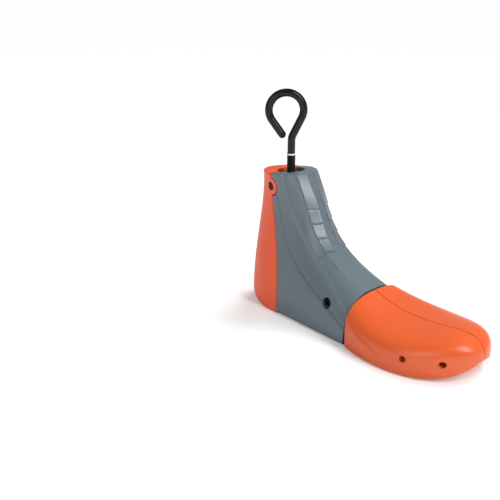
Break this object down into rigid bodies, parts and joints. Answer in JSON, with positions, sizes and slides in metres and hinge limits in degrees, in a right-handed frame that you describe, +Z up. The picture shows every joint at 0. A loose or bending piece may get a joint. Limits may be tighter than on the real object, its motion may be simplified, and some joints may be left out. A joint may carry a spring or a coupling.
{
  "type": "shoe stretcher",
  "caption": "Two-way shoe stretcher: a hook screw in an ankle body swings the heel piece back and spreads the split toe form.",
  "frame": {"origin": "middle of the bounding box at the sole's height", "axes": "+X from heel to toe, +Y to the wearer's left, +Z up"},
  "size_m": [0.2499, 0.0958, 0.203],
  "materials": {
    "orange": "glossy moulded orange plastic with slight texture",
    "body": "satin moulded blue-grey plastic",
    "black_plastic": "matt black moulded plastic",
    "black_metal": "gloss black coated steel",
    "steel": "bright zinc-plated steel",
    "ring": "white plastic"
  },
  "bodies": {
    "body": {"body_shell": "body", "drive_nut": "steel", "nut_plate": "black_metal", "nut_plate_screws": "steel", "hinge_pins": "black_metal", "guide_frame": "black_plastic", "frame_screws": "steel", "rod_bush": "steel", "toe_carrier": "black_plastic", "cross_pin": "black_metal", "guide_rods": "steel"},
    "driver": {"cam_block": "black_plastic", "thrust_washers": "steel"},
    "hook": {"hook": "black_metal", "depth_ring": "ring", "retaining_clip": "steel"},
    "pusher": {"push_rod": "steel", "push_yoke": "black_plastic", "yoke_pin": "steel", "cam_plate": "black_plastic", "cam_plate_screw": "steel"},
    "heel": {"heel_shell": "orange", "heel_cam_pin": "steel"},
    "toe_left": {"toe_left": "orange", "toe_left_pin": "steel"},
    "toe_right": {"toe_right": "orange", "toe_right_pin": "steel"}
  },
  "joints": [
    {"name": "hook_turn", "type": "hinge", "parent": "driver", "child": "hook", "pos_m": [-0.0883, 0, 0.1], "axis": [0, 0, -1], "range_deg": [0, 5040]},
    {"name": "driver_slide", "type": "slide", "parent": "body", "child": "driver", "axis": [0, 0, -1], "range_m": [0, 0.0176]},
    {"name": "pusher_slide", "type": "slide", "parent": "body", "child": "pusher", "axis": [1, 0, 0], "range_m": [0, 0.0121]},
    {"name": "heel_swing", "type": "hinge", "parent": "body", "child": "heel", "pos_m": [-0.0955, 0, 0.1154], "axis": [0, 1, 0], "range_deg": [0, 7.05]},
    {"name": "toe_left_slide", "type": "slide", "parent": "body", "child": "toe_left", "axis": [0, 1, 0], "range_m": [0, 0.00605]},
    {"name": "toe_right_slide", "type": "slide", "parent": "body", "child": "toe_right", "axis": [0, -1, 0], "range_m": [0, 0.00605]}
  ],
  "couplings": [
    {"joint": "driver_slide", "follows": "hook_turn", "m_per_rad": 0.00019894},
    {"joint": "pusher_slide", "follows": "hook_turn", "m_per_rad": 0.00013642},
    {"joint": "heel_swing", "follows": "hook_turn", "ratio": 0.0013889},
    {"joint": "toe_left_slide", "follows": "hook_turn", "m_per_rad": 0.000068209},
    {"joint": "toe_right_slide", "follows": "hook_turn", "m_per_rad": 0.000068209}
  ]
}
